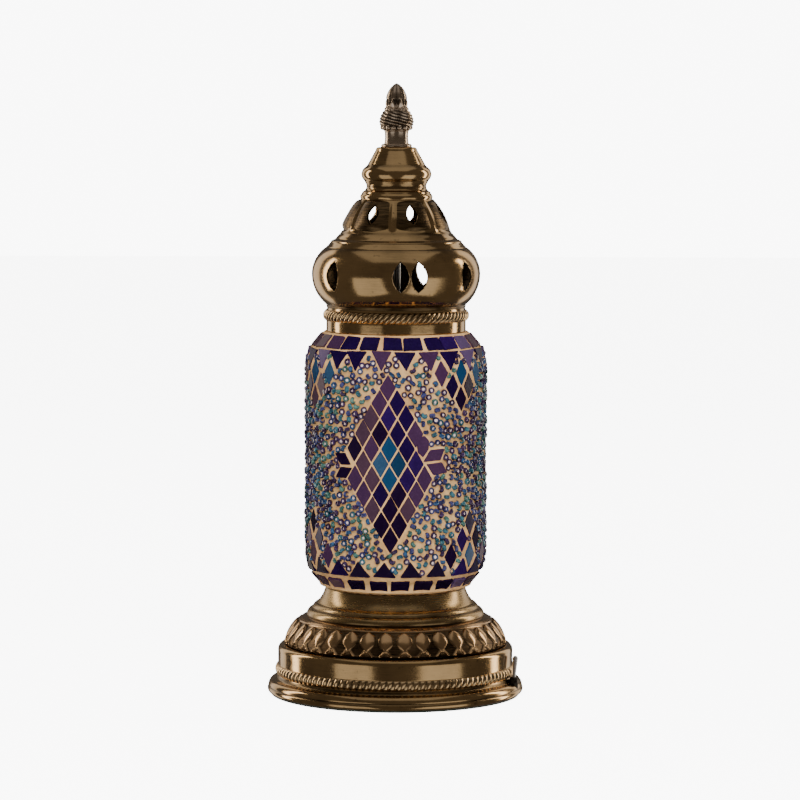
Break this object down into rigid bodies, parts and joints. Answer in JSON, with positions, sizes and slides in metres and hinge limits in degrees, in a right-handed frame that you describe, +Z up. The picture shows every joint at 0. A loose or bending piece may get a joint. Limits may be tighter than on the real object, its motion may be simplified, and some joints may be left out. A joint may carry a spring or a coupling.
{
  "type": "mosaic glass table lamp",
  "caption": "Table lamp: beaded mosaic glass cylinder with diamond panels on an embossed brass base, under a pierced, lift-off brass dome with a finial; toggle switch on the rim.",
  "frame": {"origin": "middle of the base's underside, on the surface it stands on", "axes": "+Z up along the lamp's axis; -Y is the front, with the main diamond panel; +Y is the rear, with the cord inlet; +X is the right, near the switch"},
  "size_m": [0.1556, 0.1556, 0.37],
  "materials": {
    "aged_brass": "dark antiqued brass, worn bright on the high spots",
    "gasket_rubber": "matt black",
    "plated_steel": "zinc plated",
    "clear_glass": "clear blown glass",
    "grout": "cream cement grout, matt",
    "indigo_glass": "glossy indigo glass",
    "violet_glass": "glossy violet, blue and near black glass",
    "iron": "rough cast",
    "painted_steel": "dark bronze paint",
    "felt": "dark felt",
    "terminal_plastic": "off-white moulded",
    "plain_brass": "bare",
    "wire_blue": "blue insulation",
    "wire_brown": "brown insulation",
    "wire_green": "green and yellow insulation",
    "holder_plastic": "black phenolic",
    "holder_ceramic": "white steatite",
    "switch_plastic": "black moulded",
    "dark_metal": "blackened",
    "chrome": "polished",
    "bulb_metal": "bare",
    "bulb_black": "black glass insulator",
    "bulb_clear": "clear",
    "filament": "yellow phosphor coat"
  },
  "bodies": {
    "root": {"glass_cylinder": "clear_glass", "mosaic_grout": "grout", "shoulder_tiles_upper": "indigo_glass", "shoulder_tiles_lower": "indigo_glass", "triangle_tiles_upper": "indigo_glass", "triangle_tiles_lower": "indigo_glass", "diamond_tiles": "violet_glass", "cluster_tiles": "violet_glass", "base_foot": "aged_brass", "base_bell": "aged_brass", "base_neck": "aged_brass", "seat_plate": "plated_steel", "glass_gaskets": "gasket_rubber", "clamp_plate": "plated_steel", "lamp_pipe": "plated_steel", "pipe_nuts": "plated_steel", "pipe_washers": "plated_steel", "base_weight": "iron", "standoffs": "plated_steel", "bottom_cover": "painted_steel", "cover_screws": "plated_steel", "felt_ring": "felt", "cord_grommet": "gasket_rubber", "terminal_block": "terminal_plastic", "terminal_screws": "plain_brass", "earth_screw": "plain_brass", "wire_neutral": "wire_blue", "wire_switched": "wire_brown", "wire_live": "wire_brown", "wire_earth": "wire_green", "holder_cap": "holder_plastic", "holder_body": "holder_plastic", "holder_insert": "holder_ceramic", "holder_shell": "plain_brass", "holder_contact": "plain_brass", "switch_body": "switch_plastic", "switch_bush": "dark_metal", "switch_washer": "dark_metal", "switch_nut": "dark_metal", "switch_terminals": "plain_brass"},
    "dome": {"finial": "aged_brass", "cone_cap": "aged_brass", "upper_dome": "aged_brass", "lower_dome": "aged_brass", "dome_collar": "aged_brass", "dome_gasket": "gasket_rubber", "suspension_bar": "plated_steel", "tie_rod": "plated_steel", "tie_rod_washer": "plated_steel", "tie_rod_nut": "plated_steel"},
    "bulb": {"bulb_cap": "bulb_metal", "bulb_insulator": "bulb_black", "bulb_tip": "bulb_metal", "bulb_glass": "bulb_clear", "bulb_stem": "bulb_clear", "bulb_filaments": "filament"},
    "lever": {"switch_lever": "chrome"}
  },
  "joints": [
    {"name": "dome_lift", "type": "slide", "parent": "root", "child": "dome", "axis": [0, 0, 1], "range_m": [0, 0.13]},
    {"name": "bulb_unscrew", "type": "slide", "parent": "root", "child": "bulb", "axis": [0, 0, 1], "range_m": [0, 0.028]},
    {"name": "switch_toggle", "type": "hinge", "parent": "root", "child": "lever", "pos_m": [0.07172, -0.02193, 0.0108], "axis": [0.9563, -0.2924, 0], "range_deg": [0, 25]}
  ]
}
